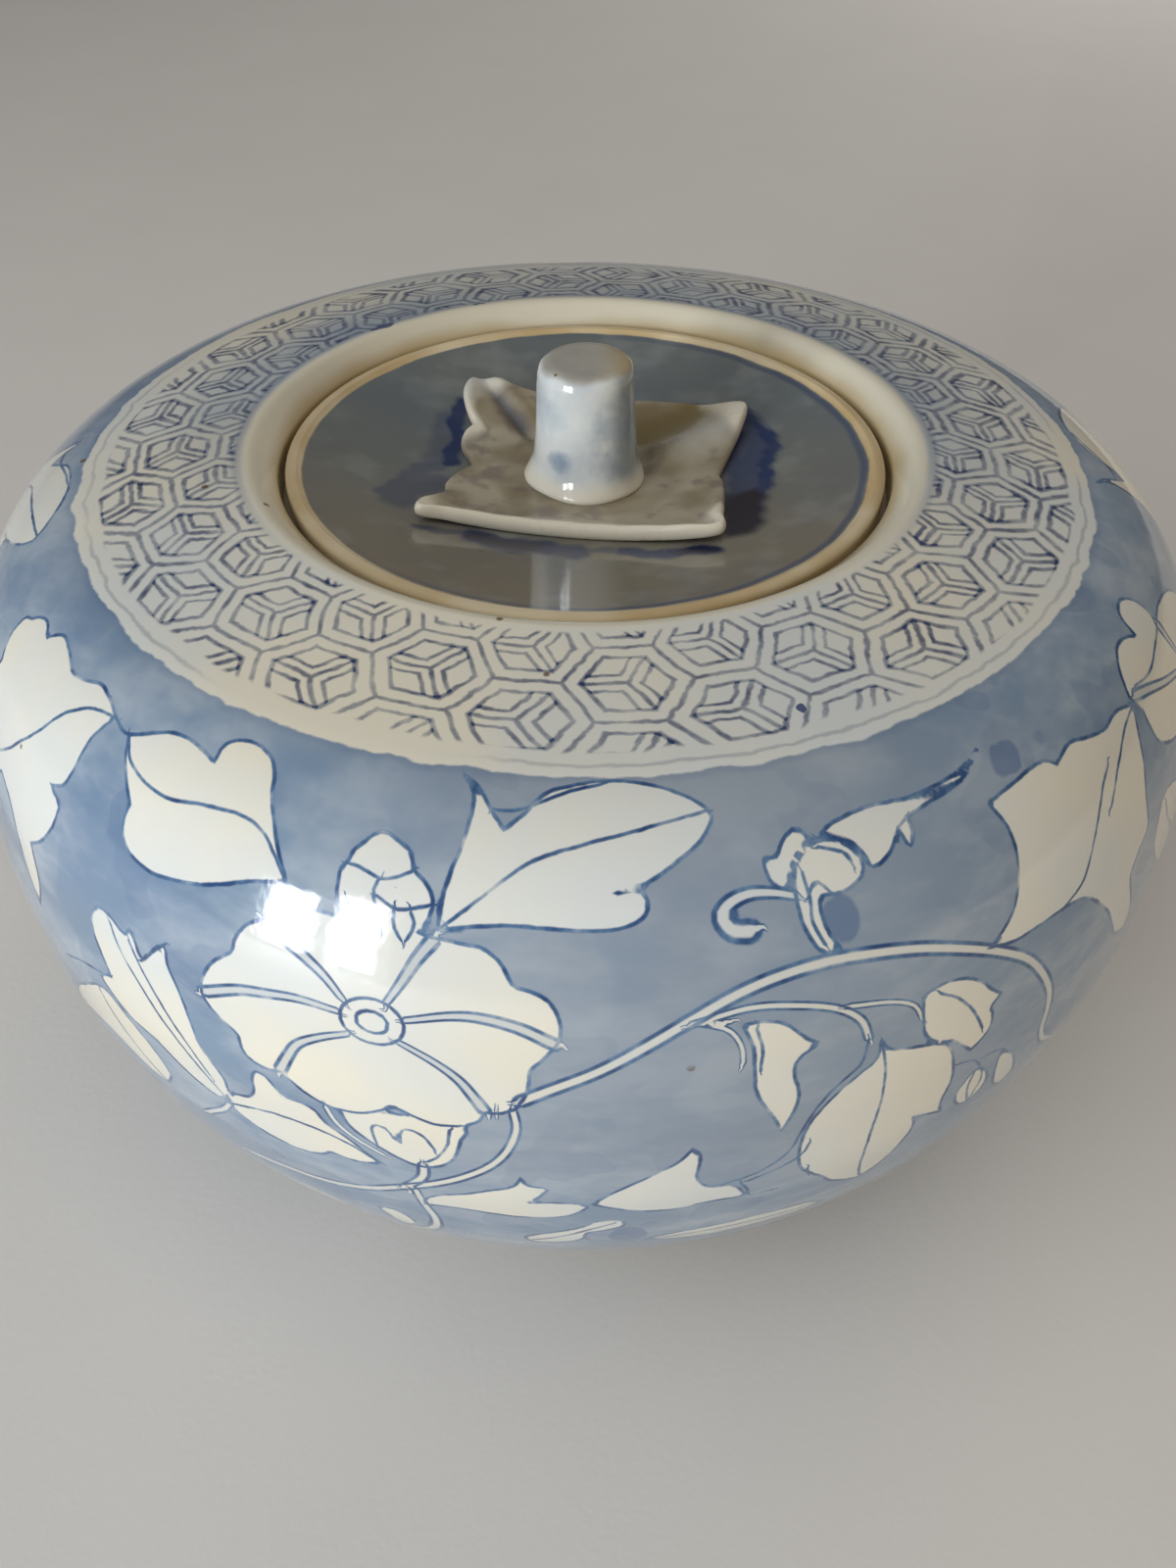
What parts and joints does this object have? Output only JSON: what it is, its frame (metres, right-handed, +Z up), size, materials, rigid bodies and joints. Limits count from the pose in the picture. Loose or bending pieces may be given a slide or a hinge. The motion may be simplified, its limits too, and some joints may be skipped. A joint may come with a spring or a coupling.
{
  "type": "ginger jar",
  "caption": "Squat lidded porcelain jar with a sunken dished lid and a stem knob standing on a leaf.",
  "frame": {"origin": "middle of the foot ring's resting face", "axes": "+Z up along the jar's axis of revolution, -Y towards the side with the large flower"},
  "size_m": [0.2203, 0.2204, 0.1432],
  "materials": {
    "body_glaze": "clear gloss glaze over blue brushwork on a cream-white body",
    "lid_glaze": "clear gloss glaze over a grey-blue wash, cream rim",
    "leaf_glaze": "clear gloss glaze, warm cream with blue touches",
    "knob_glaze": "clear gloss glaze, white with pale blue washes"
  },
  "bodies": {
    "jar": {"jar_body": "body_glaze"},
    "lid": {"lid_plate": "lid_glaze", "lid_calyx": "leaf_glaze", "lid_knob": "knob_glaze"}
  },
  "joints": [
    {"name": "lid_lift", "type": "slide", "parent": "jar", "child": "lid", "axis": [0, 0, 1], "range_m": [0, 0.08]}
  ]
}
